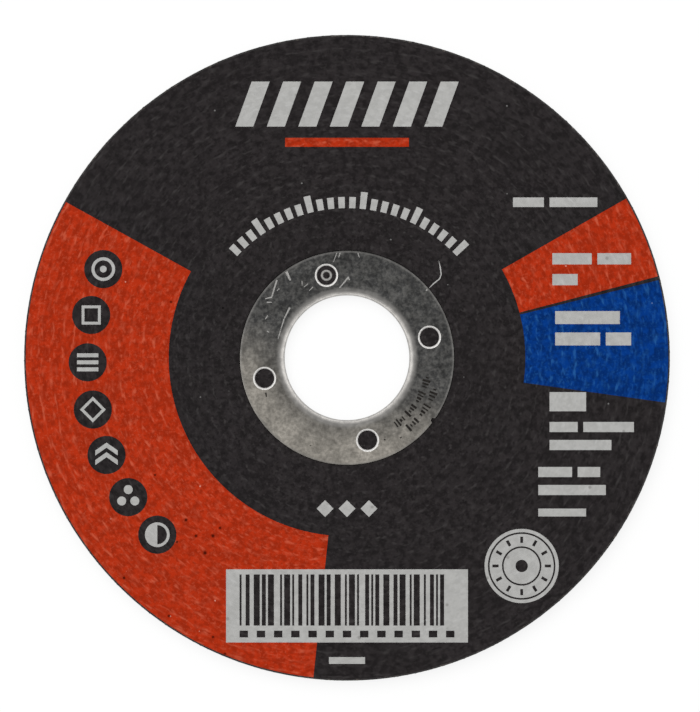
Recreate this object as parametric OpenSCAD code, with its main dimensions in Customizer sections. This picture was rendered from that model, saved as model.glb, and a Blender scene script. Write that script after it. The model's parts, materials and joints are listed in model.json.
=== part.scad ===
// Flat cut-off wheel: a moulded abrasive disc, a printed paper label and a pressed steel ring.
// It lies on its back face. The origin is on the bore's axis, on the back face, and +Z
// goes out through the label. +Y is the top of the print.

/* [Wheel] */
// Outside diameter of the wheel
wheel_d = 115; // [100:1:127]
// Thickness from the back face to the label face
wheel_t = 3; // [2.5:0.1:6]
// Radius on the two moulded outer edges
rim_edge_r = 0.2; // [0.1:0.05:0.5]
// Width of the bare flat band between the label and the edge radius
bare_rim = 0.2; // [0.1:0.1:2]

/* [Centre ring] */
// Diameter of the arbor bore, inside the collar
bore_d = 22.23; // [16:0.01:25.4]
// Outside diameter of the flange
ring_d = 38.2; // [36:0.1:44]
// Thickness of the steel sheet
ring_sheet = 0.4; // [0.3:0.05:0.6]
// Outside radius of the bend from flange to collar
bend_r = 1.25; // [0.8:0.05:1.5]
// Height of the flange's top above the label face
ring_stand = 0.1; // [0.05:0.05:0.2]
// Distance that the collar's end stays inside the back face
collar_setback = 0.6; // [0.2:0.1:1]
// Radius on the flange's upper outer edge
flange_edge_r = 0.3; // [0.05:0.05:0.3]
// Gap from the steel to the label's step and to the disc's hole
ring_gap = 0.05; // [0.02:0.01:0.15]

/* [Ring holes] */
// Number of pierced holes, midway across the flange
hole_n = 4; // [2:1:8]
// Diameter of each pierced hole
hole_d = 3.4; // [2.5:0.1:4]
// Radius rolled on each hole's upper edge
hole_lip_r = 0.35; // [0.1:0.05:0.6]
// Angle of the first hole from +X
hole_turn = 14; // [0:1:90]

/* [Label] */
// Thickness of the paper
label_t = 0.2; // [0.15:0.05:0.4]
// Distance between the concentric press rings
press_pitch = 2.03; // [1.5:0.01:4]
// Width of a press ring at its foot
press_w = 0.8; // [0.4:0.1:1.2]
// Height of a press ring above the label face
press_h = 0.04; // [0.02:0.01:0.08]

/* [Colour fields] */
// Depth of the ink into the paper
print_depth = 0.08; // [0.05:0.01:0.12]
// Radius where the colour fields begin
field_r = 31.7; // [28:0.1:36]
// Angle where the large red field begins
red_start = 151; // [130:1:170]
// Angle that the large red field covers
red_sweep = 113; // [60:1:140]
// Angle where the blue field begins
blue_start = -8; // [-20:1:0]
// Angle that the blue field covers
blue_sweep = 22; // [10:1:24]
// Angle of the black line between the blue field and the small red field
field_line = 0.7; // [0.4:0.1:2]
// Angle that the small red field covers
band_sweep = 15; // [8:1:25]

/* [Panel and stripes] */
// Width of the pale panel
panel_w = 43; // [30:1:50]
// Height of the pale panel
panel_h = 13; // [8:1:18]
// Distance from the panel's lower side to the label's edge, on the centre line
panel_inset = 6.5; // [5:0.5:8]
// Number of slanted stripes at the top
stripe_n = 7; // [3:1:9]
// Width of a stripe
stripe_w = 3.2; // [2:0.1:4]
// Distance between stripes
stripe_pitch = 5.6; // [4.5:0.1:6]
// Height of the stripes
stripe_h = 8; // [5:0.5:12]
// Lean of the stripes from upright
stripe_lean = 20; // [0:1:30]
// Distance from the stripes' upper ends to the label's edge, on the centre line
stripe_inset = 8; // [6:0.5:10]
// Width of the red bar below the stripes
bar_w = 22; // [10:1:36]
// Height of the red bar
bar_h = 1.6; // [1:0.1:3]
// Distance from the stripes to the red bar
bar_drop = 2; // [1:0.1:4]

/* [Roundel and dots] */
// Outside radius of the pale roundel
roundel_r = 6.6; // [4:0.1:7]
// Distance from the roundel's centre to the label's edge
roundel_inset = 8.8; // [8:0.1:12]
// Angle of the roundel's centre
roundel_angle = -50; // [-56:1:-44]
// Number of black dots in the large red field
dot_n = 7; // [1:1:8]
// Radius of a dot
dot_r = 3.4; // [2:0.1:3.5]
// Distance from the dots' centres to the label's edge
dot_inset = 11; // [6:0.5:20]
// Angle of the first dot
dot_start = 160; // [158:1:170]
// Angle between dots
dot_pitch = 10.5; // [10:0.5:14]

/* [Hidden] */
$fn = 120;

wheel_r = wheel_d / 2;
bore_r = bore_d / 2;
ring_r = ring_d / 2;
hole_r = hole_d / 2;
label_r = wheel_r - rim_edge_r - bare_rim;

// Levels of the ring: top of the flange, its underside, and the collar's end.
flange_top = wheel_t + ring_stand;
seat_z = flange_top - ring_sheet;
bend_in_r = bend_r - ring_sheet;
bend_x = bore_r + bend_r;
bend_z = flange_top - bend_r;
hole_circle_r = (bore_r + ring_r) / 2;

// Rounded edges leave a straight land on the sheet's edge.
edge_land = 0.05;
flange_edge = min(flange_edge_r, ring_sheet - edge_land);
hole_lip = min(hole_lip_r, ring_sheet - edge_land);

// The label steps down under the flange, and the disc follows it one paper lower.
// The disc's corner at the hole is round and follows the ring's bend.
step_r = ring_r + ring_gap;
disc_step_r = step_r + label_t;
label_bore_r = bend_x + ring_gap;
disc_bore_r = bore_r + ring_sheet + ring_gap;
disc_corner_r = bend_in_r - ring_gap;
label_back = wheel_t - label_t;
seat_back = seat_z - label_t;

// Press rings fill the label from the step to the edge.
press_first_r = step_r + press_pitch / 2;
press_n = floor((label_r - press_w / 2 - press_first_r) / press_pitch) + 1;

// Places of the print, from the label's edge.
print_z = wheel_t - print_depth;
band_start = blue_start + blue_sweep + field_line;
panel_y = panel_inset - label_r;
stripe_y = label_r - stripe_inset - stripe_h;
stripe_shift = stripe_h * tan(stripe_lean);
stripe_row_w = (stripe_n - 1) * stripe_pitch + stripe_w + stripe_shift;
bar_y = stripe_y - bar_drop - bar_h;
roundel_place = label_r - roundel_inset;
dot_place = label_r - dot_inset;

// Cuts reach past the faces that they open.
past = 1;

module abrasive_disc() {
    color([0.16, 0.15, 0.15])
    rotate_extrude()
    difference() {
        rim_section();
        translate([0, label_back]) square([label_r, wheel_t]);
        translate([0, seat_back]) square([disc_step_r, wheel_t]);
        translate([0, -past]) square([disc_bore_r, wheel_t + 2 * past]);
        translate([bend_x, bend_z])
            difference() {
                translate([-bend_r, 0]) square(bend_r);
                circle(disc_corner_r);
            }
    }
}

// Half section of a plain disc with rounded outer edges.
module rim_section() {
    square([wheel_r - rim_edge_r, wheel_t]);
    translate([0, rim_edge_r]) square([wheel_r, wheel_t - 2 * rim_edge_r]);
    for (z = [rim_edge_r, wheel_t - rim_edge_r])
        translate([wheel_r - rim_edge_r, z]) circle(rim_edge_r);
}

module paper_label() {
    color([0.17, 0.16, 0.16])
    difference() {
        rotate_extrude() label_section();
        difference() {
            inked() {
                red_fields();
                blue_field();
            }
            inked() dots();
        }
        inked() pale_shapes();
    }
}

// Half section of the label: paper of one thickness, stepped down under the ring,
// with the press rings standing on its face.
module label_section() {
    polygon(concat(
        [
            [label_bore_r, seat_z],
            [label_bore_r, seat_back],
            [disc_step_r, seat_back],
            [disc_step_r, label_back],
            [label_r, label_back],
            [label_r, wheel_t]
        ],
        [
            for (i = [press_n - 1 : -1 : 0])
                let (r = press_first_r + i * press_pitch)
                each [[r + press_w / 2, wheel_t], [r, wheel_t + press_h], [r - press_w / 2, wheel_t]]
        ],
        [
            [step_r, wheel_t],
            [step_r, seat_z]
        ]
    ));
}

// Room for ink in the label's face, over the outlines given.
module inked() {
    translate([0, 0, print_z]) linear_extrude(print_depth + press_h + past) children();
}

// Ink over the outlines given, level with the label's face and its press rings.
module ink() {
    intersection() {
        rotate_extrude() label_section();
        inked() children();
    }
}

module red_print() {
    color([0.67, 0.22, 0.13])
    difference() {
        ink() red_fields();
        inked() {
            dots();
            pale_shapes();
        }
    }
}

module blue_print() {
    color([0.03, 0.22, 0.48]) ink() blue_field();
}

module pale_print() {
    color([0.66, 0.66, 0.64]) ink() pale_shapes();
}

module red_fields() {
    field(red_start, red_sweep);
    field(band_start, band_sweep);
    translate([-bar_w / 2, bar_y]) square([bar_w, bar_h]);
}

module blue_field() {
    field(blue_start, blue_sweep);
}

// One field of colour, from the field radius out past the label's edge.
module field(start, sweep) {
    intersection() {
        difference() {
            circle(label_r + past);
            circle(field_r);
        }
        reach = 2 * wheel_r;
        polygon([
            [0, 0],
            reach * [cos(start), sin(start)],
            reach * [cos(start + sweep / 2), sin(start + sweep / 2)] / cos(sweep / 2),
            reach * [cos(start + sweep), sin(start + sweep)]
        ]);
    }
}

module pale_shapes() {
    translate([-panel_w / 2, panel_y]) square([panel_w, panel_h]);
    translate([-stripe_row_w / 2, stripe_y])
        for (i = [0 : stripe_n - 1])
            translate([i * stripe_pitch, 0])
                polygon([
                    [0, 0],
                    [stripe_w, 0],
                    [stripe_w + stripe_shift, stripe_h],
                    [stripe_shift, stripe_h]
                ]);
    rotate(roundel_angle) translate([roundel_place, 0]) circle(roundel_r);
}

module dots() {
    for (i = [0 : dot_n - 1])
        rotate(dot_start + i * dot_pitch) translate([dot_place, 0]) circle(dot_r);
}

module centre_ring() {
    color([0.55, 0.54, 0.52])
    difference() {
        rotate_extrude() ring_section();
        for (i = [0 : hole_n - 1])
            rotate(hole_turn + i * 360 / hole_n)
                translate([hole_circle_r, 0, 0]) pierced_hole();
    }
}

// Half section of the ring: flange, bend and collar, drawn from one sheet.
module ring_section() {
    flange_w = ring_r - bend_x;
    translate([bend_x, seat_z]) {
        square([flange_w - flange_edge, ring_sheet]);
        square([flange_w, ring_sheet - flange_edge]);
        translate([flange_w - flange_edge, ring_sheet - flange_edge])
            intersection() {
                circle(flange_edge);
                square(flange_edge);
            }
    }
    translate([bore_r, collar_setback])
        square([ring_sheet, bend_z - collar_setback]);
    translate([bore_r, bend_z])
        intersection() {
            translate([bend_r, 0])
                difference() {
                    circle(bend_r);
                    circle(bend_in_r);
                }
            square(bend_r);
        }
}

// Cutter for one hole: a round punch, widened at the top by the rolled edge.
module pierced_hole() {
    translate([0, 0, seat_z - past]) cylinder(r = hole_r, h = ring_sheet + 2 * past);
    translate([0, 0, flange_top - hole_lip])
        rotate_extrude()
        difference() {
            square([hole_r + hole_lip, hole_lip + past]);
            translate([hole_r + hole_lip, 0]) circle(hole_lip);
            translate([hole_r + hole_lip - past, -past]) square(past);
        }
}

abrasive_disc();
paper_label();
red_print();
blue_print();
pale_print();
centre_ring();
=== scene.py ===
import json
import math

import bpy
import bmesh
import numpy as np
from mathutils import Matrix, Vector, noise
from mathutils.geometry import delaunay_2d_cdt
from mathutils.kdtree import KDTree


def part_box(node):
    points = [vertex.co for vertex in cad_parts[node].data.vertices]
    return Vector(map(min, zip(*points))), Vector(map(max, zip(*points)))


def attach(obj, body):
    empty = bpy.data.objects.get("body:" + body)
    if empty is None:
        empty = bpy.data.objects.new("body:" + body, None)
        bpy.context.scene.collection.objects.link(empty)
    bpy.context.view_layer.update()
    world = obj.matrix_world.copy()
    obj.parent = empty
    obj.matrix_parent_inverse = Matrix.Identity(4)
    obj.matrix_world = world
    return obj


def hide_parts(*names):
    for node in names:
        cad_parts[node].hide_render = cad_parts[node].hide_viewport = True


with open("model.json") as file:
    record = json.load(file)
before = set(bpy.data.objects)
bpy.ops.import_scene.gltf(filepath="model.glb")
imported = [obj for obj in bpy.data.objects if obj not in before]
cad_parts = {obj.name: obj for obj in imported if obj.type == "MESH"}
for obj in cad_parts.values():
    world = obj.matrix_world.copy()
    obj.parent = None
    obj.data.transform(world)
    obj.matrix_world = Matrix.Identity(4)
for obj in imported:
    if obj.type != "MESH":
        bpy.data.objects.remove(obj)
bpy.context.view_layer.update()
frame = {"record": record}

MM = 0.001
SEED = 115


def box_mm(node):
    """Lowest and highest corner of a CAD node, in millimetres."""
    low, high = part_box(node)
    return [v / MM for v in low], [v / MM for v in high]


# Sizes that the CAD model gives
WHEEL_R = box_mm("abrasive_disc")[1][0]
WHEEL_T = box_mm("abrasive_disc")[1][2]
LABEL_R = box_mm("paper_label")[1][0]
SEAT_BACK = box_mm("paper_label")[0][2]
RING_R = box_mm("centre_ring")[1][0]
FLANGE_TOP = box_mm("centre_ring")[1][2]
COLLAR_END = box_mm("centre_ring")[0][2]
BORE_R = next(m["dims"]["r_mm"] for m in frame["record"]["mounts"] if m["name"] == "arbor_bore")

# Sizes that repeat the part's source
RIM_EDGE_R = 0.2
RING_SHEET = 0.4
BEND_R = 1.25
FLANGE_EDGE_R = 0.3
RING_GAP = 0.05
HOLE_R = 1.7
HOLE_LIP = 0.35
HOLE_TURN = 14
HOLE_N = 4
LABEL_T = 0.2
PRINT_DEPTH = 0.08
PRESS_PITCH = 2.03
PRESS_W = 0.8
FIELD_R = 31.7

# Sizes that follow from these
LABEL_BACK = WHEEL_T - LABEL_T
SEAT_Z = FLANGE_TOP - RING_SHEET
STEP_R = RING_R + RING_GAP
STEP_BACK_R = STEP_R + LABEL_T
BEND_END_R = BORE_R + BEND_R
BEND_Z = FLANGE_TOP - BEND_R
FLANGE_FLAT_R = RING_R - FLANGE_EDGE_R
RIM_FLAT_R = WHEEL_R - RIM_EDGE_R
DISC_HOLE_R = BORE_R + RING_SHEET + RING_GAP
PRESS_FIRST_R = STEP_R + PRESS_PITCH / 2
HOLE_CIRCLE_R = (BORE_R + RING_R) / 2

# The photograph's frame: the wheel's centre and its scale, in pixels
PHOTO_W = 700
PHOTO_H = 712
PHOTO_CENTRE = (347.0, 357.8)
PHOTO_SCALE = 323.5 / WHEEL_R


def from_photo(px, py):
    """Place on the label of a pixel of the photograph."""
    return (px - PHOTO_CENTRE[0]) / PHOTO_SCALE, (PHOTO_CENTRE[1] - py) / PHOTO_SCALE


# Outlines


def circle(x, y, r, n):
    """Points of a circle round a place."""
    turn = 2 * math.pi / n
    return [(x + r * math.cos(i * turn), y + r * math.sin(i * turn)) for i in range(n)]


def arc(r, start, end, step=1.0):
    """Points of an arc round the axis, between two angles in degrees."""
    n = max(2, round(abs(end - start) / step))
    turns = [math.radians(start + (end - start) * i / n) for i in range(n + 1)]
    return [(r * math.cos(t), r * math.sin(t)) for t in turns]


def sector(r0, r1, start, end):
    """Outline between two circles round the axis and two angles."""
    return arc(r1, start, end) + arc(r0, end, start)


def rectangle(x, y, w, h):
    """Outline of an upright rectangle, from its lower left corner."""
    return [(x, y), (x + w, y), (x + w, y + h), (x, y + h)]


def diamond(x, y, half):
    """Outline of a square that stands on its corner."""
    return [(x - half, y), (x, y - half), (x + half, y), (x, y + half)]


def polar(r, angle):
    """Place at a radius and an angle in degrees."""
    return r * math.cos(math.radians(angle)), r * math.sin(math.radians(angle))


def stroke(points, width):
    """Outline of a thin line with pointed ends along the points."""
    left, right = [], []
    for i in range(1, len(points) - 1):
        ahead = Vector(points[i + 1]) - Vector(points[i - 1])
        side = Vector((-ahead.y, ahead.x)).normalized() * width / 2
        left.append(tuple(Vector(points[i]) + side))
        right.append(tuple(Vector(points[i]) - side))
    return [points[0]] + right + [points[-1]] + left[::-1]


def scratch(a, b, width):
    """Outline of a straight mark with blunt ends, narrower at the end b."""
    narrow = 0.6
    a, b = Vector(a), Vector(b)
    side = Vector((a.y - b.y, b.x - a.x)).normalized() * width / 2
    return [tuple(p) for p in (a - side, b - narrow * side, b + narrow * side, a + side)]


def between(outline, r0, r1):
    """The outline with its points moved between two circles round the axis."""
    moved = []
    for x, y in outline:
        r = math.hypot(x, y)
        share = min(max(r, r0), r1) / r
        moved.append((x * share, y * share))
    return moved


# Print on the label, in painting order: (ink, outline)


def colour_fields():
    """Fields of colour that run out to the label's edge, and a red bar near its top."""
    past = LABEL_R + 1
    left_field, right_field, blue_field = (151, 264), (14.7, 29.7), (-8, 14)
    bar_w, bar_h, bar_y = 22, 1.6, 37.5
    yield "red", sector(FIELD_R, past, *left_field)
    yield "red", sector(FIELD_R, past, *right_field)
    yield "red", rectangle(-bar_w / 2, bar_y, bar_w, bar_h)
    yield "blue", sector(FIELD_R, past, *blue_field)


def stripes():
    """Row of slanted stripes at the top."""
    count, width, pitch, height, top_gap, lean = 7, 3.2, 5.6, 8, 8, 20
    shift = height * math.tan(math.radians(lean))
    row = (count - 1) * pitch + width + shift
    y = LABEL_R - top_gap - height
    for i in range(count):
        x = i * pitch - row / 2
        yield "pale", [(x, y), (x + width, y), (x + width + shift, y + height), (x + shift, y + height)]


def bar_panel():
    """Pale panel with upright bars and a row of blocks, their widths set by a counting rule."""
    w, h, bottom_gap = 43, 13, 6.5
    unit, side, foot, head = 0.36, 2.4, 3.0, 0.9
    block_w, block_h, block_foot, blocks = 1.5, 1.2, 0.9, 13
    x0, y0 = -w / 2, bottom_gap - LABEL_R
    yield "pale", rectangle(x0, y0, w, h)
    x, i = x0 + side, 0
    while x < x0 + w - side - 3 * unit:
        bar = unit * (1 + (i * 7 + i // 3) % 3)
        yield "black", rectangle(x, y0 + foot, bar, h - foot - head)
        x += bar + unit * (1 + (i * 5) % 3 // 2 + (i % 4 == 0))
        i += 1
    gap = (w - 2 * side - blocks * block_w) / (blocks - 1)
    for i in range(blocks):
        yield "black", rectangle(x0 + side + i * (block_w + gap), y0 + block_foot, block_w, block_h)


def roundel():
    """Pale round mark drawn as a plain dial: two dark rings, ticks and a hub."""
    edge_gap, angle, hub_r = 8.8, -50, 1.1
    discs = (("pale", 6.6), ("black", 6.0), ("pale", 5.7), ("black", 3.5), ("pale", 3.2))
    ticks, tick_in, tick_out, tick_w = 12, 4.1, 5.2, 0.5
    x, y = polar(LABEL_R - edge_gap, angle)
    for ink, r in discs:
        yield ink, circle(x, y, r, 72)
    centre = Vector((x, y))
    for i in range(ticks):
        turn = 2 * math.pi * i / ticks
        along = Vector((math.cos(turn), math.sin(turn)))
        side = Vector((-along.y, along.x)) * tick_w / 2
        a, b = centre + along * tick_in, centre + along * tick_out
        yield "black", [tuple(a - side), tuple(b - side), tuple(b + side), tuple(a + side)]
    yield "black", circle(x, y, hub_r, 32)


def scale_ticks():
    """Graduated scale round the upper side of the ring, with each fifth tick longer."""
    first, step, count, r0, tick_w = 44, 4, 24, 26.6, 1.1
    short, long, every = 2.0, 3.0, 5
    half = math.degrees(tick_w / 2 / r0)
    for i in range(count):
        angle = first + i * step
        length = short if i % every else long
        yield "pale", sector(r0, r0 + length, angle - half, angle + half)


def diamonds():
    """Three small diamonds below the ring."""
    half, pitch, y = 1.5, 3.9, -26.8
    for i in (-1, 0, 1):
        yield "pale", diamond(i * pitch, y, half)


def dot_marks():
    """Black dots in the red field, each with its own plain mark."""
    r_dot, edge_gap, first, pitch = 3.4, 11, 160, 10.5
    marks = (ring_mark, square_mark, bars_mark, diamond_mark, chevron_mark, trio_mark, half_mark)
    for i, mark in enumerate(marks):
        x, y = polar(LABEL_R - edge_gap, first + i * pitch)
        yield "black", circle(x, y, r_dot, 48)
        yield from mark(x, y)


def ring_mark(x, y):
    """Ring round a small disc."""
    for ink, r, n in (("pale", 2.1, 40), ("black", 1.55, 40), ("pale", 0.6, 24)):
        yield ink, circle(x, y, r, n)


def square_mark(x, y):
    """Square frame."""
    for ink, half in (("pale", 1.7), ("black", 1.2)):
        yield ink, rectangle(x - half, y - half, 2 * half, 2 * half)


def bars_mark(x, y):
    """Three level bars."""
    w, h, pitch = 3.8, 0.7, 1.25
    for i in (-1, 0, 1):
        yield "pale", rectangle(x - w / 2, y + i * pitch - h / 2, w, h)


def diamond_mark(x, y):
    """Diamond frame."""
    for ink, half in (("pale", 2.3), ("black", 1.6)):
        yield ink, diamond(x, y, half)


def chevron_mark(x, y):
    """Two chevrons, one above the other."""
    half, rise, band = 2, 1.4, 0.9
    for foot in (y - 1.8, y - 0.1):
        yield "pale", [
            (x - half, foot), (x, foot + rise), (x + half, foot),
            (x + half, foot + band), (x, foot + rise + band), (x - half, foot + band),
        ]


def trio_mark(x, y):
    """Three small discs."""
    apart, disc_r = 1.35, 0.8
    for turn in (90, 210, 330):
        dx, dy = polar(apart, turn)
        yield "pale", circle(x + dx, y + dy, disc_r, 28)


def half_mark(x, y):
    """Disc with a dark half."""
    r, half_r = 2.2, 1.7
    yield "pale", circle(x, y, r, 40)
    yield "black", [(x + dx, y + dy) for dx, dy in arc(half_r, -90, 90, 6)]


def bar_rows():
    """Rows of short pale bars: (left, bottom, height, lengths)."""
    gap = 1.0
    rows = (
        (29.5, 26.8, 1.7, (5.5, 8.5)),
        (36.5, 16.6, 2.0, (7.0, 6.0)),
        (36.5, 12.9, 2.0, (4.5,)),
        (37.0, 6.0, 2.3, (11.5,)),
        (37.0, 2.2, 2.3, (8.0, 4.5)),
        (36.0, -9.5, 3.4, (6.5,)),
        (36.0, -13.2, 1.8, (5.0, 9.0)),
        (36.0, -16.4, 1.8, (11.0,)),
        (34.0, -21.2, 1.8, (6.0, 4.0)),
        (34.0, -24.4, 1.8, (12.0,)),
        (34.0, -28.2, 1.4, (8.5,)),
        (-3.2, -54.4, 1.2, (6.4,)),
    )
    for x, y, h, lengths in rows:
        for w in lengths:
            yield "pale", rectangle(x, y, w, h)
            x += w + gap


def label_scratch():
    """Pale scratch from the ring's edge: its route in pixels of the photograph."""
    width = 0.21
    route = (
        (438.5, 259.8), (440.2, 267.0), (441.2, 274.4),
        (439.7, 278.7), (433.6, 283.6), (426.7, 290.5),
    )
    yield "pale", stroke([from_photo(*p) for p in route], width)


def label_paint():
    """Everything on the label, from its black ground up; the ring's place is left open."""
    parts = (
        colour_fields, stripes, bar_panel, roundel, scale_ticks,
        diamonds, dot_marks, bar_rows, label_scratch,
    )
    yield "black", circle(0, 0, LABEL_R, 720)
    for part in parts:
        yield from part()
    yield None, circle(0, 0, STEP_R, 480)


# Meshes from outlines


def polar_grid(r0, r1, pitch):
    """Points on staggered circles, one pitch apart and a little more along each circle."""
    along = pitch * 1.1
    rows = []
    for i in range(int((r1 - r0) / pitch) + 1):
        r = r0 + i * pitch
        n = round(2 * math.pi * r / along)
        turns = (np.arange(n) + 0.5 * (i % 2)) * 2 * math.pi / n
        rows.append(np.stack([r * np.cos(turns), r * np.sin(turns)], axis=1))
    return np.concatenate(rows)


def distance_to(points, outlines):
    """Distance from each point to the nearest outline, marked at each step."""
    step = 0.1
    marks = []
    for outline in outlines:
        for a, b in zip(outline, outline[1:] + outline[:1]):
            n = max(1, math.ceil(math.dist(a, b) / step))
            marks += [(a[0] + (b[0] - a[0]) * i / n, a[1] + (b[1] - a[1]) * i / n) for i in range(n)]
    tree = KDTree(len(marks))
    for i, (x, y) in enumerate(marks):
        tree.insert((x, y, 0), i)
    tree.balance()
    return np.array([tree.find((p[0], p[1], 0))[2] for p in points])


def clear_of(points, paint, clear):
    """The points that keep clear of every painted outline."""
    away = distance_to(points, [outline for _, outline in paint])
    return [p for p, d in zip(points, away) if d > clear]


def paint_mesh(paint, points):
    """Triangles over painted outlines, and the ink of each: the last outline that covers it.

    The first outline bounds the mesh, and an outline with no ink is left open.
    """
    merge = 1e-5
    inks = [ink for ink, _ in paint]
    verts, outlines = [], []
    for _, outline in paint:
        outlines.append(list(range(len(verts), len(verts) + len(outline))))
        verts += [Vector(p) for p in outline]
    verts += [Vector((p[0], p[1])) for p in points]
    places, _, faces, _, _, covers_of = delaunay_2d_cdt(verts, [], outlines, 0, merge, True)
    triangles, owners = [], []
    for face, covers in zip(faces, covers_of):
        if 0 in covers and inks[max(covers)] is not None:
            triangles.append(face)
            owners.append(inks[max(covers)])
    return np.array([(p.x, p.y) for p in places]), np.array(triangles), np.array(owners)


def rim_edges(triangles):
    """Directed edges that belong to one triangle only."""
    edges = {}
    for a, b, c in triangles:
        for e in ((a, b), (b, c), (c, a)):
            edges[e] = True
    return [e for e in edges if (e[1], e[0]) not in edges]


def add_piece(name, points, faces, materials, slot, nodes=(), face_slots=None, layers=None, sharp=40):
    """Welds a closed mesh, gives it its material and sets it on the frame."""
    weld = 1e-4
    mesh = bpy.data.meshes.new(name)
    mesh.from_pydata([tuple(c * MM for c in p) for p in points], [], faces)
    for material in materials:
        mesh.materials.append(material)
    if face_slots is not None:
        mesh.polygons.foreach_set("material_index", face_slots)
    for layer_name, values in (layers or {}).items():
        data = mesh.attributes.new(layer_name, "FLOAT", "POINT").data
        data.foreach_set("value", np.asarray(values, dtype=np.float32))
    work = bmesh.new()
    work.from_mesh(mesh)
    bmesh.ops.remove_doubles(work, verts=work.verts, dist=weld * MM)
    bmesh.ops.recalc_face_normals(work, faces=work.faces)
    work.to_mesh(mesh)
    work.free()
    mesh.polygons.foreach_set("use_smooth", [True] * len(mesh.polygons))
    mesh.set_sharp_from_angle(angle=math.radians(sharp))
    mesh.update()
    piece = bpy.data.objects.new(name, mesh)
    bpy.context.scene.collection.objects.link(piece)
    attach(piece, "root")
    if nodes:
        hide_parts(*nodes)


def loop(x, y, r, z, n):
    """Points of a level circle."""
    return [(px, py, z) for px, py in circle(x, y, r, n)]


def lathe(loops, closed=False):
    """Points and quads of a skin through loops of equal count."""
    n = len(loops[0])
    points = [p for one in loops for p in one]
    faces = []
    pairs = list(zip(range(len(loops) - 1), range(1, len(loops))))
    if closed:
        pairs.append((len(loops) - 1, 0))
    for a, b in pairs:
        for i in range(n):
            j = (i + 1) % n
            faces.append([a * n + i, a * n + j, b * n + j, b * n + i])
    return points, faces


def turned(section, n, x=0, y=0, closed=False):
    """Skin of a half section, (radius, height), turned round an upright axis."""
    return lathe([loop(x, y, r, z, n) for r, z in section], closed)


def quarter(x0, z0, r, start, end, steps):
    """Arc of a half section: (radius, height) from one angle to the other."""
    turns = [math.radians(start + (end - start) * i / steps) for i in range(steps + 1)]
    return [(x0 + r * math.cos(t), z0 + r * math.sin(t)) for t in turns]


def plate(paint, z):
    """Level face over painted outlines."""
    coords, triangles, _ = paint_mesh(paint, [])
    return np.column_stack([coords, np.full(len(coords), z)]), [list(t) for t in triangles]


def join(*parts):
    """One mesh of several: each part is (points, faces, material slot or one slot for each face)."""
    points, faces, slots = [], [], []
    for part_points, part_faces, slot in parts:
        base = len(points)
        points += list(part_points)
        faces += [[base + i for i in face] for face in part_faces]
        slots += slot if isinstance(slot, list) else [slot] * len(part_faces)
    return points, faces, slots


def only_used(points, faces, layers):
    """The mesh without the points that no face uses."""
    used = sorted({i for face in faces for i in face})
    index = {old: new for new, old in enumerate(used)}
    faces = [[index[i] for i in face] for face in faces]
    return np.asarray(points)[used], faces, {k: v[used] for k, v in layers.items()}


def smooth_noise(points, size):
    """Soft noise from -1 to 1 at each point, with features of about this size."""
    level = 0.5
    return np.array([noise.noise(Vector((p[0] / size, p[1] / size, level))) for p in points])


def smoothstep(low, high, value):
    """Soft step of an array, from 0 at low to 1 at high."""
    t = np.clip((value - low) / (high - low), 0, 1)
    return t * t * (3 - 2 * t)


# Relief of the pressed label


def press_dashes(r, turn):
    """Strength of the press rings, broken into dashes along each ring."""
    lengths = (3.1, 4.7, 7.3, 12.1)
    gap_level, full_level = 0.1, 1.7
    rng = np.random.default_rng(SEED)
    rings = int((WHEEL_R - STEP_R) / PRESS_PITCH) + 2
    phases = rng.uniform(0, 2 * math.pi, (rings, len(lengths)))
    ring = np.clip(np.round((r - PRESS_FIRST_R) / PRESS_PITCH).astype(int), 0, rings - 1)
    ring_r = PRESS_FIRST_R + ring * PRESS_PITCH
    crest = np.clip(1 - np.abs(r - ring_r) / (PRESS_W / 2), 0, 1)
    waves = np.zeros_like(r)
    for i, length in enumerate(lengths):
        count = np.round(2 * math.pi * ring_r / length)
        waves += np.sin(count * turn + phases[ring, i])
    return crest * smoothstep(gap_level, full_level, waves)


# Pits in the pressed label: pixel of the photograph and radius
PITS = (
    (186, 520, 0.34), (196, 536, 0.3), (213, 536, 0.36), (220, 528, 0.28), (177, 542, 0.26),
    (205, 553, 0.4), (124, 578, 0.3), (169, 616, 0.28), (213, 637, 0.26), (155, 475, 0.24),
    (225, 654, 0.26), (171, 302, 0.24), (223, 308, 0.22),
)


def pit_depths(points):
    """Depth of the pits at each point, from 0 to 1."""
    floor_share, edge_highlight_share = 0.4, 1.3
    depth = np.zeros(len(points))
    for px, py, r in PITS:
        x, y = from_photo(px, py)
        away = np.hypot(points[:, 0] - x, points[:, 1] - y)
        depth = np.maximum(depth, 1 - smoothstep(floor_share * r, edge_highlight_share * r, away))
    return depth


def pit_points():
    """Extra mesh points round each pit, on circles given as share of its radius and count."""
    circles = ((0.5, 6), (1.0, 10), (1.5, 14))
    found = []
    for px, py, r in PITS:
        x, y = from_photo(px, py)
        found.append((x, y))
        for share, count in circles:
            found += circle(x, y, share * r, count)
    return found


def label_relief(coords):
    """Height above the label face, painted highlight on the crests and dirt in the pits."""
    dash_h, grain_h, swell_h, pit_h = 0.035, 0.012, 0.008, 0.05
    grain_size, swell_size = 0.55, 3.5
    crest_highlight_mean, crest_highlight_spread = 0.75, 0.5
    r = np.hypot(coords[:, 0], coords[:, 1])
    turn = np.arctan2(coords[:, 1], coords[:, 0])
    dashes = press_dashes(r, turn)
    grain = smooth_noise(coords, grain_size)
    swell = smooth_noise(coords, swell_size)
    pits = pit_depths(coords)
    height = dash_h * dashes + grain_h * grain + swell_h * swell - pit_h * pits
    # Painted highlight: the press-ring crests are painted paler, carried to the shader as a mesh layer
    crest_highlight = np.clip(dashes * (crest_highlight_mean + crest_highlight_spread * grain), 0, 1)
    return height, crest_highlight, pits


# Pieces of the label: ink, piece, CAD node and material slot
LABEL_PIECES = (
    ("black", "label_ground", "paper_label", "label_paper"),
    ("red", "label_red", "red_print", "red_ink"),
    ("blue", "label_blue", "blue_print", "blue_ink"),
    ("pale", "label_pale", "pale_print", "pale_ink"),
)


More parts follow.
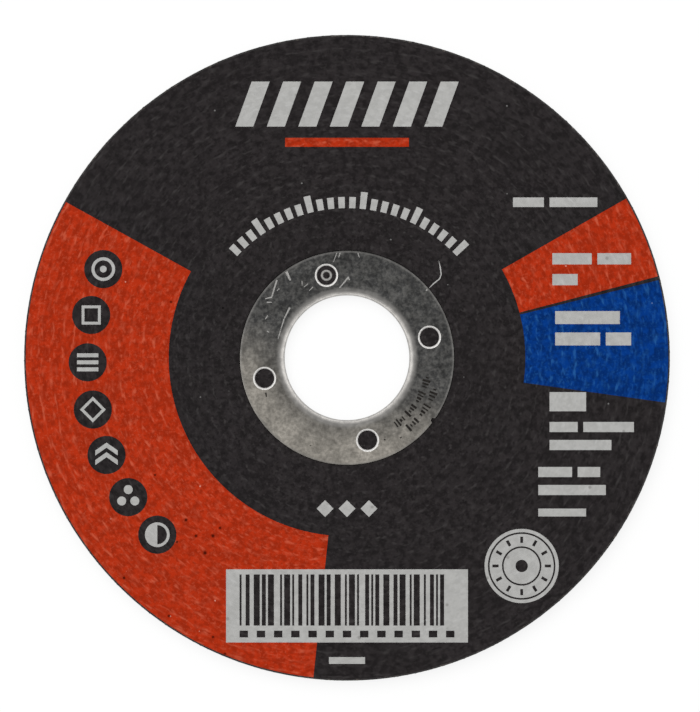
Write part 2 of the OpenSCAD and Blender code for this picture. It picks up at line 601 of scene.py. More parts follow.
def make_label(materials):
    """One closed piece for each ink, all cut from one relief mesh, on the paper below them."""
    hairline, clear, rows_a_ring = 0.002, 0.13, 5
    ink_back = WHEEL_T - PRINT_DEPTH + hairline
    row = PRESS_PITCH / rows_a_ring
    paint = list(label_paint())
    grid = polar_grid(STEP_R + row / 2, LABEL_R - row / 2, row)
    coords, triangles, owners = paint_mesh(paint, clear_of(list(grid) + pit_points(), paint, clear))
    base, base_triangles, base_owners = paint_mesh(paint, [])
    height, crest_highlight, pits = label_relief(coords)

    # Points of all inks: the relief, the same points at the inks' back, and the back's own few points
    skin = np.column_stack([coords, WHEEL_T + height])
    back = np.column_stack([coords, np.full(len(coords), ink_back)])
    under = np.column_stack([base, np.full(len(base), ink_back)])
    points = np.concatenate([skin, back, under])
    clean = np.zeros(len(back) + len(under))
    layers = {"crest_highlight": np.concatenate([crest_highlight, clean]), "pit": np.concatenate([pits, clean])}
    n = len(coords)
    for ink, name, node, slot in LABEL_PIECES:
        top = triangles[owners == ink]
        bottom = base_triangles[base_owners == ink]
        faces = [list(t) for t in top]
        faces += [[b, a, n + a, n + b] for a, b in rim_edges(top)]
        faces += [[2 * n + i for i in t[::-1]] for t in bottom]
        body = (points, faces, layers)
        if ink == "black":
            body = with_paper(*body)
        piece_points, piece_faces, piece_layers = only_used(*body)
        add_piece(name, piece_points, piece_faces, [materials[slot]], slot, [node], layers=piece_layers)


def with_paper(points, faces, layers):
    """Adds the sheet of paper below the inks, which steps down under the ring."""
    turns = 480
    paper_top = WHEEL_T - PRINT_DEPTH
    r_in = BEND_END_R + RING_GAP
    section = (
        (r_in, SEAT_Z), (STEP_R, SEAT_Z), (STEP_R, paper_top), (LABEL_R, paper_top),
        (LABEL_R, LABEL_BACK), (STEP_BACK_R, LABEL_BACK), (STEP_BACK_R, SEAT_BACK), (r_in, SEAT_BACK),
    )
    sheet_points, sheet_faces = turned(section, turns, closed=True)
    faces = faces + [[len(points) + i for i in face] for face in sheet_faces]
    layers = {k: np.concatenate([v, np.zeros(len(sheet_points))]) for k, v in layers.items()}
    return np.concatenate([points, np.array(sheet_points)]), faces, layers


# The pressed ring

RING_TURNS = 480
BEND_STEPS = 12
EDGE_STEPS = 4
HOLE_TURNS = 60
LIP_STEPS = 8
PIP_TURNS = 40
STEEL, WORN, BRIGHT, DIRT = range(4)

# Wear on the ring: line in pixels of the photograph, and width
RING_SCRATCHES = (
    ((286.0, 271.2), (290.4, 280.4), 0.52),
    ((276.8, 279.8), (271.4, 298.0), 0.36),
    ((271.2, 297.2), (265.2, 298.8), 0.26),
    ((266.7, 302.4), (271.8, 302.3), 0.26),
    ((336.8, 252.4), (333.4, 262.0), 0.18),
    ((340.2, 252.6), (338.6, 257.6), 0.2),
    ((348.8, 276.8), (339.4, 288.0), 0.3),
    ((357.8, 252.6), (359.4, 257.4), 0.2),
    ((289.8, 307.5), (284.3, 318.5), 0.32),
    ((284.1, 319.0), (280.6, 330.2), 0.24),
    ((280.5, 330.6), (278.0, 339.0), 0.2),
    ((305.4, 302.8), (301.6, 313.2), 0.3),
    ((302.0, 281.0), (302.2, 285.5), 0.16),
    ((308.0, 283.8), (304.2, 287.0), 0.16),
    ((312.9, 287.0), (309.2, 290.8), 0.18),
    ((279.2, 288.4), (277.0, 290.8), 0.2),
    ((267.8, 315.6), (265.2, 319.2), 0.2),
    ((267.0, 331.0), (269.2, 332.4), 0.24),
    ((347.6, 277.2), (349.6, 279.8), 0.3),
    ((427.9, 288.8), (426.2, 290.8), 0.3),
)
RING_DIRT = (
    ((265.8, 392.6), (266.4, 397.0), 0.3),
    ((383.8, 439.4), (385.6, 440.0), 0.26),
    ((400.2, 438.2), (401.6, 436.8), 0.26),
    ((310.0, 445.6), (311.4, 445.2), 0.2),
)

# The nick in the ring's edge: angle, half width in degrees, share of it that is cut full, and depth
NICK_TURN = -36
NICK_HALF = 1.5
NICK_FULL = 0.4
NICK_DEPTH = 0.5


def ring_edge(r, z):
    """Points of a level circle near the ring's outer edge, moved in at the nick."""
    moved = []
    for x, y, _ in loop(0, 0, r, z, RING_TURNS):
        away = abs(math.degrees(math.atan2(y, x)) - NICK_TURN) / NICK_HALF
        keep = 1 - NICK_DEPTH / RING_R * (1 - smoothstep(NICK_FULL, 1.0, away))
        moved.append((x * keep, y * keep, z))
    return moved


def level_edge(r):
    """Outline of the ring's outer edge, with its nick."""
    return [(x, y) for x, y, _ in ring_edge(r, 0)]


def lip_section():
    """Half section of a hole's rolled edge, down to the sheet's underside."""
    centre_r, centre_z = HOLE_R + HOLE_LIP, FLANGE_TOP - HOLE_LIP
    return quarter(centre_r, centre_z, HOLE_LIP, 90, 180, LIP_STEPS) + [(HOLE_R, SEAT_Z)]


def ring_ticks():
    """Two rows of short dark ticks along the ring, (radius, first angle, count), set by a counting rule."""
    rows = ((16.6, -20, 15), (14.7, -14, 20))
    pitch, group = 2.2, 5
    short, length_step, thin, width_step = 0.55, 0.3, 0.26, 0.08
    for r, start, count in rows:
        for i in range(count):
            if i % group == group - 1:
                continue
            angle = start - i * pitch
            length = short + length_step * (i * 3 % 4)
            width = thin + width_step * (i * 5 % 3)
            half = math.degrees(width / 2 / r)
            yield sector(r - length / 2, r + length / 2, angle - half, angle + half)


def ring_face(holes):
    """Flange's upper face with scratches, specks and ticks: points, faces and the material of each face."""
    mark_clear, point_clear, pitch = 0.06, 0.12, 0.45
    dent_h, dent_size, dent_fade = 0.004, 1.3, 0.6
    edges = [level_edge(FLANGE_FLAT_R), circle(0, 0, BEND_END_R, RING_TURNS)]
    edges += [circle(x, y, HOLE_R + HOLE_LIP, HOLE_TURNS) for x, y in holes]
    paint = [(STEEL, edges[0])]
    for slot, marks in ((BRIGHT, RING_SCRATCHES), (DIRT, RING_DIRT)):
        for a, b, width in marks:
            mark = scratch(from_photo(*a), from_photo(*b), width)
            paint.append((slot, between(mark, BEND_END_R + mark_clear, FLANGE_FLAT_R - mark_clear)))
    paint += [(DIRT, tick) for tick in ring_ticks()]
    paint += [(None, edge) for edge in edges[1:]]
    grid = polar_grid(BEND_END_R + pitch, FLANGE_FLAT_R - pitch, pitch)
    coords, triangles, owners = paint_mesh(paint, clear_of(grid, paint, point_clear))
    inside = smoothstep(0.0, dent_fade, distance_to(coords, edges))
    dent = dent_h * (smooth_noise(coords, dent_size) - 1) * inside
    points = np.column_stack([coords, FLANGE_TOP + dent])
    return points, [list(t) for t in triangles], [int(slot) for slot in owners]


def make_ring(materials):
    """Flange, bend, collar and rolled holes, drawn from one sheet."""
    holes = [polar(HOLE_CIRCLE_R, HOLE_TURN + i * 360 / HOLE_N) for i in range(HOLE_N)]
    under = [(STEEL, level_edge(RING_R)), (None, circle(0, 0, BEND_END_R, RING_TURNS))]
    under += [(None, circle(x, y, HOLE_R, HOLE_TURNS)) for x, y in holes]
    bend = quarter(BEND_END_R, BEND_Z, BEND_R, 90, 180, BEND_STEPS)
    collar = [bend[-1], (BORE_R, COLLAR_END), (BORE_R + RING_SHEET, COLLAR_END)]
    collar += quarter(BEND_END_R, BEND_Z, BEND_R - RING_SHEET, 180, 90, BEND_STEPS)
    edge = quarter(FLANGE_FLAT_R, FLANGE_TOP - FLANGE_EDGE_R, FLANGE_EDGE_R, 90, 0, EDGE_STEPS)
    edge += [(RING_R, SEAT_Z)]
    parts = [
        ring_face(holes),
        (*plate(under, SEAT_Z), STEEL),
        (*turned(bend, RING_TURNS), STEEL),
        (*turned(collar, RING_TURNS), STEEL),
        (*lathe([ring_edge(r, z) for r, z in edge]), STEEL),
    ]
    parts += [(*turned(lip_section(), HOLE_TURNS, x, y), WORN) for x, y in holes]
    points, faces, slots = join(*parts)
    add_piece("ring_pressing", points, faces, materials, "tinplate", ["centre_ring"],
              face_slots=slots, sharp=50)


def make_pip(material):
    """Small raised ring on the paper, in the hole nearest the top."""
    ring_r, wire_r, wire_rise, sides = 0.8, 0.22, 0.05, 14
    x, y = polar(HOLE_CIRCLE_R, HOLE_TURN + 90)
    section = []
    for i in range(sides):
        turn = 2 * math.pi * i / sides
        z = max(SEAT_Z, SEAT_Z + wire_rise + wire_r * math.sin(turn))
        section.append((ring_r + wire_r * math.cos(turn), z))
    points, faces = turned(section, PIP_TURNS, x, y, closed=True)
    add_piece("hole_pip", points, faces, [material], "tinplate")


# The abrasive disc

RIM_TURNS = 1440
HOLE_SIDE_TURNS = 360
CORNER_STEPS = 8
GRIT = 0.62
NET_PITCH = 5.2
NET_STRAND = 1.7
NET_TURN = 24


def net_strength(coords):
    """How far each point lies on a strand of the glass net, from 0 to 1."""
    wander_h, wander_size = 0.35, 9.0
    weave_mean, weave_swing = 0.75, 0.25
    turn = math.radians(NET_TURN)
    u = coords[:, 0] * math.cos(turn) + coords[:, 1] * math.sin(turn)
    v = coords[:, 1] * math.cos(turn) - coords[:, 0] * math.sin(turn)
    wander = wander_h * smooth_noise(coords, wander_size)
    strands = []
    for along, across in ((u, v), (v, u)):
        row = np.round((across + wander) / NET_PITCH)
        off = np.abs(across + wander - row * NET_PITCH) / (NET_STRAND / 2)
        weave = weave_mean + weave_swing * np.cos(math.pi * (along / NET_PITCH + row))
        strands.append(np.sqrt(np.clip(1 - off * off, 0, 1)) * weave)
    return np.maximum(*strands)


def grit_depth(points):
    """Roughness of broken grains: 0 on the tops, 1 in the valleys."""
    steep = 1.25
    found = np.empty(len(points))
    for i, p in enumerate(points):
        near = noise.voronoi(Vector(p) / GRIT)[0]
        found[i] = min(1.0, near[0] * steep)
    return found


def back_face():
    """Back of the disc with the net showing, and each point's share of a strand."""
    pitch, clear, fade = 0.5, 0.2, 0.8
    net_h, grit_h, grit_filled = 0.10, 0.09, 0.7
    paint = [
        ("back", circle(0, 0, RIM_FLAT_R, RIM_TURNS)),
        (None, circle(0, 0, DISC_HOLE_R, HOLE_SIDE_TURNS)),
    ]
    grid = polar_grid(DISC_HOLE_R + pitch, RIM_FLAT_R - pitch / 2, pitch)
    coords, triangles, _ = paint_mesh(paint, clear_of(grid, paint, clear))
    r = np.hypot(coords[:, 0], coords[:, 1])
    inside = smoothstep(0, fade, RIM_FLAT_R - r) * smoothstep(0, fade, r - DISC_HOLE_R)
    net = net_strength(coords)
    grit = grit_depth(np.column_stack([coords, np.zeros(len(coords))]))
    lift = inside * (net_h * (1 - net) + grit_h * grit * (1 - grit_filled * net))
    return np.column_stack([coords, lift]), [list(t) for t in triangles], net * inside


def rim_skin():
    """Rim of broken grit, between the two flat faces."""
    rows, corner_steps, grit_h, fade = 12, 3, 0.22, 0.15
    side_h = WHEEL_T - 2 * RIM_EDGE_R
    section = quarter(RIM_FLAT_R, RIM_EDGE_R, RIM_EDGE_R, -90, 0, corner_steps)
    section += [(WHEEL_R, RIM_EDGE_R + side_h * i / rows) for i in range(1, rows)]
    section += quarter(RIM_FLAT_R, WHEEL_T - RIM_EDGE_R, RIM_EDGE_R, 0, 90, corner_steps)
    points, faces = turned(section, RIM_TURNS)
    points = np.array(points)
    depth = grit_h * grit_depth(points)
    free = smoothstep(0.0, fade, points[:, 2]) * smoothstep(0.0, fade, WHEEL_T - points[:, 2])
    points[:, :2] *= (1 - depth * free / WHEEL_R)[:, None]
    return points, faces


def make_disc(material):
    """Back, rim, bare band, seat of the label, step under the ring and hole."""
    back_points, back_faces, net = back_face()
    band = [(RIM_FLAT_R, WHEEL_T), (LABEL_R, WHEEL_T), (LABEL_R, LABEL_BACK)]
    seat = [
        ("seat", circle(0, 0, LABEL_R, RIM_TURNS)),
        (None, circle(0, 0, STEP_BACK_R, HOLE_SIDE_TURNS)),
    ]
    corner_r = BEND_R - RING_SHEET - RING_GAP
    top_turn = math.degrees(math.asin((SEAT_BACK - BEND_Z) / corner_r))
    corner = quarter(BEND_END_R, BEND_Z, corner_r, 180 - top_turn, 180, CORNER_STEPS)
    inner = [(STEP_BACK_R, LABEL_BACK), (STEP_BACK_R, SEAT_BACK)] + corner + [(DISC_HOLE_R, 0)]
    points, faces, _ = join(
        (back_points, back_faces, 0),
        (*rim_skin(), 0),
        (*turned(band, RIM_TURNS), 0),
        (*plate(seat, LABEL_BACK), 0),
        (*turned(inner, HOLE_SIDE_TURNS), 0),
    )
    strands = np.zeros(len(points))
    strands[:len(net)] = net
    add_piece("abrasive_body", points, faces, [material], "abrasive", ["abrasive_disc"],
              layers={"strand": strands}, sharp=60)


# Shader nodes


def new_material(name):
    """A new material, its node tree and its shader."""
    material = bpy.data.materials.new(name)
    material.use_nodes = True
    tree = material.node_tree
    return material, tree, tree.nodes["Principled BSDF"]


def feed(tree, node, inputs):
    """Gives inputs of a node, by name or number, their value or the socket that drives them."""
    for key, value in inputs.items():
        if isinstance(value, bpy.types.NodeSocket):
            tree.links.new(value, node.inputs[key])
        else:
            node.inputs[key].default_value = value


def add_node(tree, kind, inputs, **settings):
    """A new node with its inputs and settings."""
    node = tree.nodes.new(kind)
    for key, value in settings.items():
        setattr(node, key, value)
    feed(tree, node, inputs)
    return node


def place_of(tree):
    """Place on the object, in metres."""
    return add_node(tree, "ShaderNodeTexCoord", {}).outputs["Object"]


def xy_of(tree, place):
    """The x and y of a place."""
    split = add_node(tree, "ShaderNodeSeparateXYZ", {"Vector": place})
    return split.outputs["X"], split.outputs["Y"]


def layer(tree, name):
    """Values that a mesh carries at its points."""
    return add_node(tree, "ShaderNodeAttribute", {}, attribute_name=name).outputs["Fac"]


def noise_node(tree, place, size_mm, detail=3.0, roughness=0.6):
    """Noise from 0 to 1, with features of about this size."""
    inputs = {"Vector": place, "Scale": 1 / (size_mm * MM), "Detail": detail, "Roughness": roughness}
    return add_node(tree, "ShaderNodeTexNoise", inputs).outputs["Fac"]


def cell_node(tree, place, size_mm):
    """Cells of about this size: distance to a cell's middle, in cells, and two random levels."""
    cells = add_node(tree, "ShaderNodeTexVoronoi", {"Vector": place, "Scale": 1 / (size_mm * MM)})
    pick = add_node(tree, "ShaderNodeSeparateColor", {"Color": cells.outputs["Color"]})
    return cells.outputs["Distance"], pick.outputs["Red"], pick.outputs["Green"]


def ramp(tree, value, low, high, to_low=0.0, to_high=1.0):
    """Soft step of a value between two levels, from to_low to to_high."""
    inputs = {"Value": value, "From Min": low, "From Max": high, "To Min": to_low, "To Max": to_high}
    return add_node(tree, "ShaderNodeMapRange", inputs, interpolation_type="SMOOTHSTEP").outputs["Result"]


def ramp_mm(tree, value, low, high, to_low=0.0, to_high=1.0):
    """Soft step of a length between two lengths in millimetres."""
    return ramp(tree, value, low * MM, high * MM, to_low, to_high)


def math_node(tree, operation, *values):
    """One sum on sockets or numbers."""
    return add_node(tree, "ShaderNodeMath", dict(enumerate(values)), operation=operation).outputs["Value"]


def dot(tree, x, y, u, v):
    """x times u plus y times v."""
    return math_node(tree, "ADD", math_node(tree, "MULTIPLY", x, u), math_node(tree, "MULTIPLY", y, v))


# Numbers of a colour blend's two inputs and of its output
BLEND_A, BLEND_B, BLEND_OUT = 6, 7, 2


def mix(tree, factor, a, b):
    """Blend of two colours; a and b are colours or sockets."""
    a, b = ((*c, 1.0) if isinstance(c, tuple) else c for c in (a, b))
    inputs = {"Factor": factor, BLEND_A: a, BLEND_B: b}
    return add_node(tree, "ShaderNodeMix", inputs, data_type="RGBA").outputs[BLEND_OUT]


def shaded(tree, colour, factor, low, high):
    """The colour times a grey that runs from low to high."""
    inputs = {"Factor": 1.0, BLEND_A: colour, BLEND_B: mix(tree, factor, (low,) * 3, (high,) * 3)}
    node = add_node(tree, "ShaderNodeMix", inputs, data_type="RGBA", blend_type="MULTIPLY")
    return node.outputs[BLEND_OUT]


def scaled(colour, factor):
    """A colour made darker or lighter."""
    return tuple(min(1.0, c * factor) for c in colour)


def bump(tree, height, depth_mm, strength):
    """Normal of a fine relief."""
    inputs = {"Height": height, "Distance": depth_mm * MM, "Strength": strength}
    return add_node(tree, "ShaderNodeBump", inputs).outputs["Normal"]


# Patterns and materials; a ramp's first two numbers are the levels of its noise between which it runs

# Radius at which drawn-out noise has its written length
DASH_R = 42

# Direction of the ring's lit side: the sheet is painted lighter towards it and darker, as painted shade,
# away from it
LIT_SIDE_TURN = 248


def ring_dashes(tree, place, width, length, seed):
    """Noise drawn out along the circles round the axis, from 0 to 1, and the radius."""
    x, y = xy_of(tree, place)
    r = math_node(tree, "SQRT", dot(tree, x, y, x, y))
    turn = math_node(tree, "ARCTAN2", y, x)
    across = math_node(tree, "MULTIPLY", r, 1 / (width * MM))
    along = math_node(tree, "MULTIPLY", turn, DASH_R / length)
    drawn = add_node(tree, "ShaderNodeCombineXYZ", {"X": across, "Y": along, "Z": seed}).outputs["Vector"]
    dashes = add_node(tree, "ShaderNodeTexNoise", {"Vector": drawn, "Scale": 1.0, "Detail": 1.0})
    return dashes.outputs["Fac"], r


def press_ring_highlights(tree, place):
    """Painted highlight in soft broken streaks along the press rings, from 0 to 1."""
    width, length, seed, strongest = 0.62, 1.7, 3.0, 0.74
    wander_size, wander_far = 2.5, 0.25
    ring_near, ring_far, off_ring = 0.15, 0.65, 0.3
    dashes, r = ring_dashes(tree, place, width, length, seed)
    drift = noise_node(tree, place, wander_size, 2.0)
    wander = ramp(tree, drift, 0.3, 0.7, -wander_far * MM, wander_far * MM)
    shifted = math_node(tree, "SUBTRACT", math_node(tree, "ADD", r, wander), PRESS_FIRST_R * MM)
    rings = math_node(tree, "PINGPONG", shifted, PRESS_PITCH / 2 * MM)
    on_ring = ramp_mm(tree, rings, ring_near, ring_far, 1.0, off_ring)
    return math_node(tree, "MULTIPLY", ramp(tree, dashes, 0.5, 0.76, 0.0, strongest), on_ring)


def few_specks(tree, place, apart, share, size):
    """Small dots in some of the cells of a loose pattern."""
    soft = 0.02
    distance, level, _ = cell_node(tree, place, apart)
    near = ramp(tree, distance, 0.5 * size / apart, size / apart, 1.0, 0.0)
    return math_node(tree, "MULTIPLY", near, ramp(tree, level, 1 - share - soft, 1 - share))


def ink_material(name, colour, streak, speck, depth, speck_share=0.14, speck_r=0.2):
    """Matt print on pressed paper: mottled by the grit below, with a painted highlight on the crests and
    along the press rings, dark in the pits.
    """
    fine_size, grit_size, broad_size, speck_pitch = 0.45, 1.15, 7.0, 2.6
    fleck_w, fleck_length, fleck_seed = 0.8, 1.3, 8.0
    fine_share, fleck_share, broad_share, crest_highlight_share = 0.38, 0.75, 0.3, 0.3
    dark, light = scaled(colour, 1 - depth), scaled(colour, 1 + depth)
    deep, pit_floor = scaled(colour, 1 - 1.5 * depth), scaled(colour, 0.18)
    dull, duller, sheen = 0.62, 0.82, 0.05
    bump_depth, bump_strength = 0.03, 0.7
    material, tree, shader = new_material(name)
    place = place_of(tree)
    fine = noise_node(tree, place, fine_size, 2.0)
    grit = noise_node(tree, place, grit_size, 2.0, 0.5)
    broad = noise_node(tree, place, broad_size, 2.0)
    flecks, _ = ring_dashes(tree, place, fleck_w, fleck_length, fleck_seed)
    body = mix(tree, ramp(tree, grit, 0.34, 0.66), dark, light)
    body = mix(tree, ramp(tree, fine, 0.5, 0.75, 0.0, fine_share), body, streak)
    body = mix(tree, ramp(tree, flecks, 0.3, 0.46, fleck_share, 0.0), body, deep)
    body = mix(tree, ramp(tree, broad, 0.4, 0.7, 0.0, broad_share), body, dark)
    # Painted highlight: paler on the press-ring crests and in streaks along the press rings
    body = mix(tree, math_node(tree, "MULTIPLY", layer(tree, "crest_highlight"), crest_highlight_share), body, streak)
    body = mix(tree, press_ring_highlights(tree, place), body, streak)
    body = mix(tree, few_specks(tree, place, speck_pitch, speck_share, speck_r), body, speck)
    body = mix(tree, layer(tree, "pit"), body, pit_floor)
    feed(tree, shader, {
        "Base Color": body,
        "Roughness": ramp(tree, fine, 0.3, 0.7, dull, duller),
        "Specular IOR Level": sheen,
        "Normal": bump(tree, fine, bump_depth, bump_strength),
    })
    return material


def tin_material(name, tone, tarnish_and_shade_low, tarnish_and_shade_high, polish_and_highlight):
    """Tinned sheet: mottled spangle, painted shade with tarnish spots away from its lit side, bare metal
    round the bore and on the outer edge painted bright as a highlight.
    """
    mottle_size, spot_size, cloud_size, broad_size = 0.62, 0.85, 3.2, 8.0
    drawn_w, drawn_length, drawn_seed = 1.1, 5.0, 5.0
    lit_side_start, lit_side_full, lit_side_wander, lit_side_share_at_bore = -1.5, 14.0, 0.9, 0.5
    edge_highlight_share, dull_share, bore_wall_shade_share = 0.35, 0.56, 0.5
    dull, glossy = 0.5, 0.34
    bump_depth, bump_strength = 0.01, 0.5
    material, tree, shader = new_material(name)
    place = place_of(tree)
    mottle = noise_node(tree, place, mottle_size, 3.0, 0.65)
    spots = noise_node(tree, place, spot_size, 3.0, 0.7)
    cloud = noise_node(tree, place, cloud_size, 2.0)
    broad = noise_node(tree, place, broad_size, 1.0)
    drawn, r = ring_dashes(tree, place, drawn_w, drawn_length, drawn_seed)

    # Painted shade with tarnish spots: darker away from the lit side and near the bore, lighter towards the
    # lit side
    along = dot(tree, *xy_of(tree, place), *polar(1.0, LIT_SIDE_TURN))
    wander = ramp(tree, cloud, 0.3, 0.7, -lit_side_wander * MM, lit_side_wander * MM)
    drift = math_node(tree, "ADD", along, wander)
    outward = ramp_mm(tree, r, BORE_R + 0.6, BORE_R + 5.5, lit_side_share_at_bore, 1.0)
    # Share of the lit colour; the rest takes the painted shade with tarnish spots
    clean = math_node(tree, "MULTIPLY", ramp_mm(tree, drift, lit_side_start, lit_side_full), outward)
    tarnish_and_shade = mix(tree, ramp(tree, spots, 0.36, 0.64), tarnish_and_shade_low, tarnish_and_shade_high)
    body = mix(tree, clean, tarnish_and_shade, tone)
    body = shaded(tree, body, ramp(tree, cloud, 0.36, 0.6), 0.8, 1.0)
    body = shaded(tree, body, ramp(tree, drawn, 0.34, 0.62), 0.8, 1.0)
    body = shaded(tree, body, ramp(tree, broad, 0.38, 0.62), 0.84, 1.0)
    body = shaded(tree, body, ramp(tree, mottle, 0.34, 0.66), 0.74, 1.06)

    # Bare metal on the bend and the outer edge, partly painted highlight: brightest near the bend's inner
    # edge, duller away from the bend, with painted shade on the steep wall into the bore; the outer edge's
    # band is a painted highlight
    outer_tone, bore_wall_shade = scaled(polish_and_highlight, dull_share), scaled(polish_and_highlight, bore_wall_shade_share)
    bare_and_highlight = mix(tree, ramp_mm(tree, r, BORE_R + 0.3, BORE_R + 0.85), polish_and_highlight, outer_tone)
    # Painted shade on the steep wall into the bore
    bare_and_highlight = mix(tree, ramp_mm(tree, r, BORE_R + 0.1, BORE_R + 0.32), bore_wall_shade, bare_and_highlight)
    bare_and_highlight = shaded(tree, bare_and_highlight, ramp(tree, drawn, 0.36, 0.64), 0.86, 1.06)
    near_bore = ramp_mm(tree, r, BORE_R + 0.6, BORE_R + 1.7, 1.0, 0.0)
    # Painted highlight on the bend and in a band on the outer edge
    edge_highlight = ramp_mm(tree, r, RING_R - 0.55, RING_R - 0.25, 0.0, edge_highlight_share)
    body = mix(tree, math_node(tree, "ADD", near_bore, edge_highlight), body, bare_and_highlight)
    feed(tree, shader, {
        "Base Color": body,
        "Metallic": 1.0,
        "Roughness": ramp(tree, mottle, 0.3, 0.7, dull, glossy),
        "Normal": bump(tree, mottle, bump_depth, bump_strength),
    })
    return material


def worn_material(name, tone, roughness, metallic):
    """Bare steel, rubbed bright on an edge or in a scratch."""
    fine_size, dark_share = 0.3, 0.78
    material, tree, shader = new_material(name)
    fine = noise_node(tree, place_of(tree), fine_size)
    body = mix(tree, ramp(tree, fine, 0.35, 0.65), scaled(tone, dark_share), tone)
    feed(tree, shader, {"Base Color": body, "Metallic": metallic, "Roughness": roughness})
    return material


def dirt_material(name):
    """Black dirt in specks and ticks."""
    fine_size, roughness, sheen = 0.2, 0.8, 0.1
    dark, light = (0.008, 0.007, 0.006), (0.03, 0.027, 0.024)
    material, tree, shader = new_material(name)
    fine = noise_node(tree, place_of(tree), fine_size)
    body = mix(tree, ramp(tree, fine, 0.3, 0.7), dark, light)
    feed(tree, shader, {"Base Color": body, "Roughness": roughness, "Specular IOR Level": sheen})
    return material


def abrasive_material(name):
    """Dark resin with grey and brown grains that glint, and the net's strands showing through."""
    grain_dark, grain_light = (0.02, 0.019, 0.019), (0.075, 0.064, 0.056)
    resin_dark, resin_light = (0.012, 0.011, 0.011), (0.04, 0.037, 0.036)
    strand_tone = (0.085, 0.074, 0.058)
    strand_thin, strand_full, fine_size = 0.25, 0.7, 0.2
    dull, glossy = 0.75, 0.35
    bump_depth, bump_strength = 0.05, 0.8
    material, tree, shader = new_material(name)
    place = place_of(tree)
    distance, tone_level, gloss_level = cell_node(tree, place, GRIT)
    fine = noise_node(tree, place, fine_size)
    grain = mix(tree, ramp(tree, tone_level, 0.2, 0.9), grain_dark, grain_light)
    resin = mix(tree, ramp(tree, fine, 0.35, 0.7), resin_dark, resin_light)
    body = mix(tree, ramp(tree, distance, 0.25, 0.6), grain, resin)
    on_strand = ramp(tree, layer(tree, "strand"), 0.2, 0.9)
    shown = ramp(tree, fine, 0.3, 0.6, strand_thin, strand_full)
    body = mix(tree, math_node(tree, "MULTIPLY", on_strand, shown), body, strand_tone)
    feed(tree, shader, {
        "Base Color": body,
        "Roughness": ramp(tree, gloss_level, 0.5, 1.0, dull, glossy),
        "Normal": bump(tree, fine, bump_depth, bump_strength),
    })
    return material


# Stage, in metres

FLOOR_HALF = 3.0
FLOOR_WHITE = (0.9, 0.9, 0.9, 1)
FLOOR_ROUGHNESS = 0.9
FLOOR_GLOW = 1.03
FLOOR_GLOW_SHARE = 0.82

# The tent: its tilt to the near side, the heights where its dim top ends and begins, and its levels
TENT_TILT = 9
TENT_SIDE = 0.2
TENT_TOP = 0.97
TENT_BRIGHT = 0.95
TENT_DIM = 0.56

# Levels of its near and far sides, and how far out they begin and are reached
TENT_NEAR = 0.5
TENT_FAR = 0.6
TENT_MIDDLE = 0.05
TENT_END = 0.75

KEY_PLACE = (-0.25, 0.45, 1.1)
KEY_SIZE = 1.2
KEY_POWER = 10.3

LENS = 150
SENSOR = 36


def make_floor():
    """White floor that keeps a soft shadow: part of its white is its own glow to the camera."""
    corners = [(x, y, 0) for x, y in rectangle(-FLOOR_HALF, -FLOOR_HALF, 2 * FLOOR_HALF, 2 * FLOOR_HALF)]
    mesh = bpy.data.meshes.new("floor")
    mesh.from_pydata(corners, [], [[0, 1, 2, 3]])
    floor = bpy.data.objects.new("floor", mesh)
    bpy.context.scene.collection.objects.link(floor)
    material, tree, shader = new_material("floor_white")
    feed(tree, shader, {"Base Color": FLOOR_WHITE, "Roughness": FLOOR_ROUGHNESS, "Specular IOR Level": 0.0})
    glow = add_node(tree, "ShaderNodeEmission", {"Strength": FLOOR_GLOW}).outputs["Emission"]
    path = add_node(tree, "ShaderNodeLightPath", {})
    seen = path.outputs["Is Camera Ray"]
    for ray in ("Is Glossy Ray", "Is Transmission Ray"):
        seen = math_node(tree, "MAXIMUM", seen, path.outputs[ray])
    share = ramp(tree, seen, 0.0, 1.0, 0.0, FLOOR_GLOW_SHARE)
    blend = add_node(tree, "ShaderNodeMixShader", {"Fac": share, 1: shader.outputs["BSDF"], 2: glow})
    feed(tree, tree.nodes["Material Output"], {"Surface": blend.outputs["Shader"]})
    mesh.materials.append(material)


def make_world():
    """A light tent: dim straight above, and dimmer near and far than at the sides."""
    world = bpy.data.worlds.new("tent")
    bpy.context.scene.world = world
    world.use_nodes = True
    tree = world.node_tree
    place = add_node(tree, "ShaderNodeTexCoord", {}).outputs["Generated"]
    tilt = (math.radians(TENT_TILT), 0, 0)
    tilted = add_node(tree, "ShaderNodeMapping", {"Vector": place, "Rotation": tilt}).outputs["Vector"]
    split = add_node(tree, "ShaderNodeSeparateXYZ", {"Vector": tilted})
    y, z = split.outputs["Y"], split.outputs["Z"]
    level = ramp(tree, z, TENT_SIDE, TENT_TOP, TENT_BRIGHT, TENT_DIM)
    near = ramp(tree, y, -TENT_END, -TENT_MIDDLE, TENT_NEAR, 1.0)
    far = ramp(tree, y, TENT_MIDDLE, TENT_END, 1.0, TENT_FAR)
    level = math_node(tree, "MULTIPLY", level, math_node(tree, "MULTIPLY", near, far))
    feed(tree, tree.nodes["Background"], {"Color": (1, 1, 1, 1), "Strength": level})


def make_lamp(name, place, size, power):
    """Round soft lamp that looks at the wheel, without a reflection."""
    light = bpy.data.lights.new(name, "AREA")
    light.shape = "DISK"
    light.size = size
    light.energy = power
    lamp = bpy.data.objects.new(name, light)
    lamp.location = place
    lamp.rotation_euler = (-Vector(place)).to_track_quat("-Z", "Y").to_euler()
    lamp.visible_glossy = False
    bpy.context.scene.collection.objects.link(lamp)


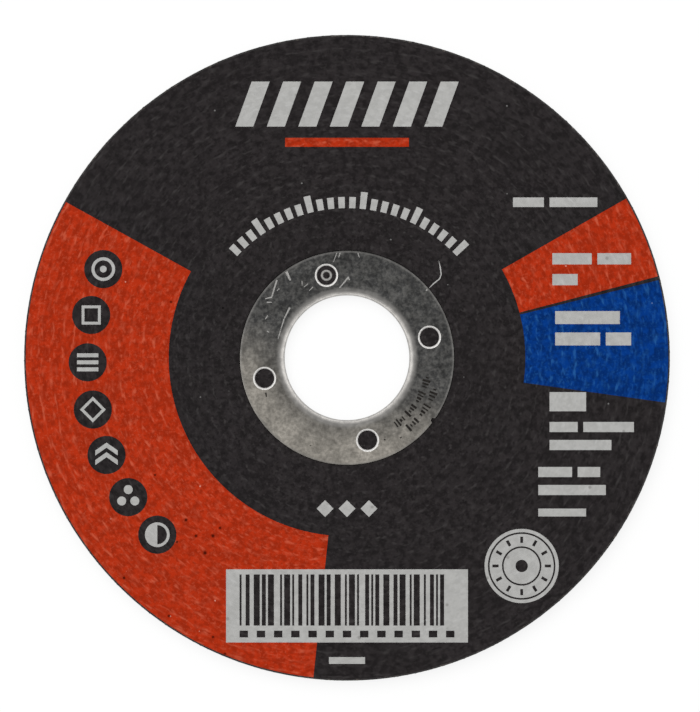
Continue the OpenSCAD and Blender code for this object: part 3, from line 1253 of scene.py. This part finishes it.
def make_camera():
    """Straight above, with the photograph's frame on the label face."""
    frame_h = PHOTO_H / PHOTO_SCALE
    data = bpy.data.cameras.new("camera")
    data.lens = LENS
    data.sensor_width = SENSOR
    camera = bpy.data.objects.new("camera", data)
    x, y = from_photo(PHOTO_W / 2, PHOTO_H / 2)
    camera.location = (x * MM, y * MM, (WHEEL_T + frame_h * LENS / SENSOR) * MM)
    bpy.context.scene.collection.objects.link(camera)
    bpy.context.scene.camera = camera


# Colours: each ink, its painted highlight on crests and streaks, and its specks
BLACK = (0.0196, 0.0169, 0.0175)
BLACK_CREST = (0.046, 0.042, 0.042)
BLACK_SPECK = (0.15, 0.148, 0.145)
RED = (0.375, 0.024, 0.0045)
RED_CREST = (0.565, 0.105, 0.053)
RED_SPECK = (0.6, 0.25, 0.19)
BLUE = (0.0004, 0.029, 0.178)
BLUE_CREST = (0.018, 0.105, 0.32)
BLUE_SPECK = (0.12, 0.2, 0.4)
PALE = (0.408, 0.406, 0.394)
PALE_CREST = (0.48, 0.48, 0.47)
PALE_SMUDGE = (0.29, 0.285, 0.275)

# Colours of the ring: the tin as on its lit side, tarnish with painted shade, bare metal with painted
# highlight, rubbed and scratched steel
TIN = (0.74, 0.69, 0.61)
TARNISH_AND_SHADE_LOW = (0.118, 0.118, 0.118)
TARNISH_AND_SHADE_HIGH = (0.25, 0.246, 0.236)
POLISH_AND_HIGHLIGHT = (0.92, 0.89, 0.85)
RUBBED = (0.95, 0.93, 0.90)
SCRATCHED = (0.5, 0.49, 0.47)

inks = {
    "label_paper": ink_material("black_print", BLACK, BLACK_CREST, BLACK_SPECK, depth=0.3),
    "red_ink": ink_material("red_print", RED, RED_CREST, RED_SPECK, depth=0.17),
    "blue_ink": ink_material("blue_print", BLUE, BLUE_CREST, BLUE_SPECK, depth=0.25),
    "pale_ink": ink_material("pale_print", PALE, PALE_CREST, PALE_SMUDGE, depth=0.06,
                             speck_share=0.55, speck_r=0.42),
}
tin = tin_material("tinned_steel", TIN, TARNISH_AND_SHADE_LOW, TARNISH_AND_SHADE_HIGH, POLISH_AND_HIGHLIGHT)
worn = worn_material("rubbed_steel", RUBBED, roughness=0.35, metallic=0.4)
bright = worn_material("scratched_steel", SCRATCHED, roughness=0.5, metallic=0.6)
make_label(inks)
make_ring([tin, worn, bright, dirt_material("dark_mark")])
make_pip(bright)
make_disc(abrasive_material("bonded_grit"))

make_floor()
make_world()
make_lamp("key_lamp", KEY_PLACE, KEY_SIZE, KEY_POWER)
make_camera()
bpy.context.scene.view_settings.view_transform = "Standard"
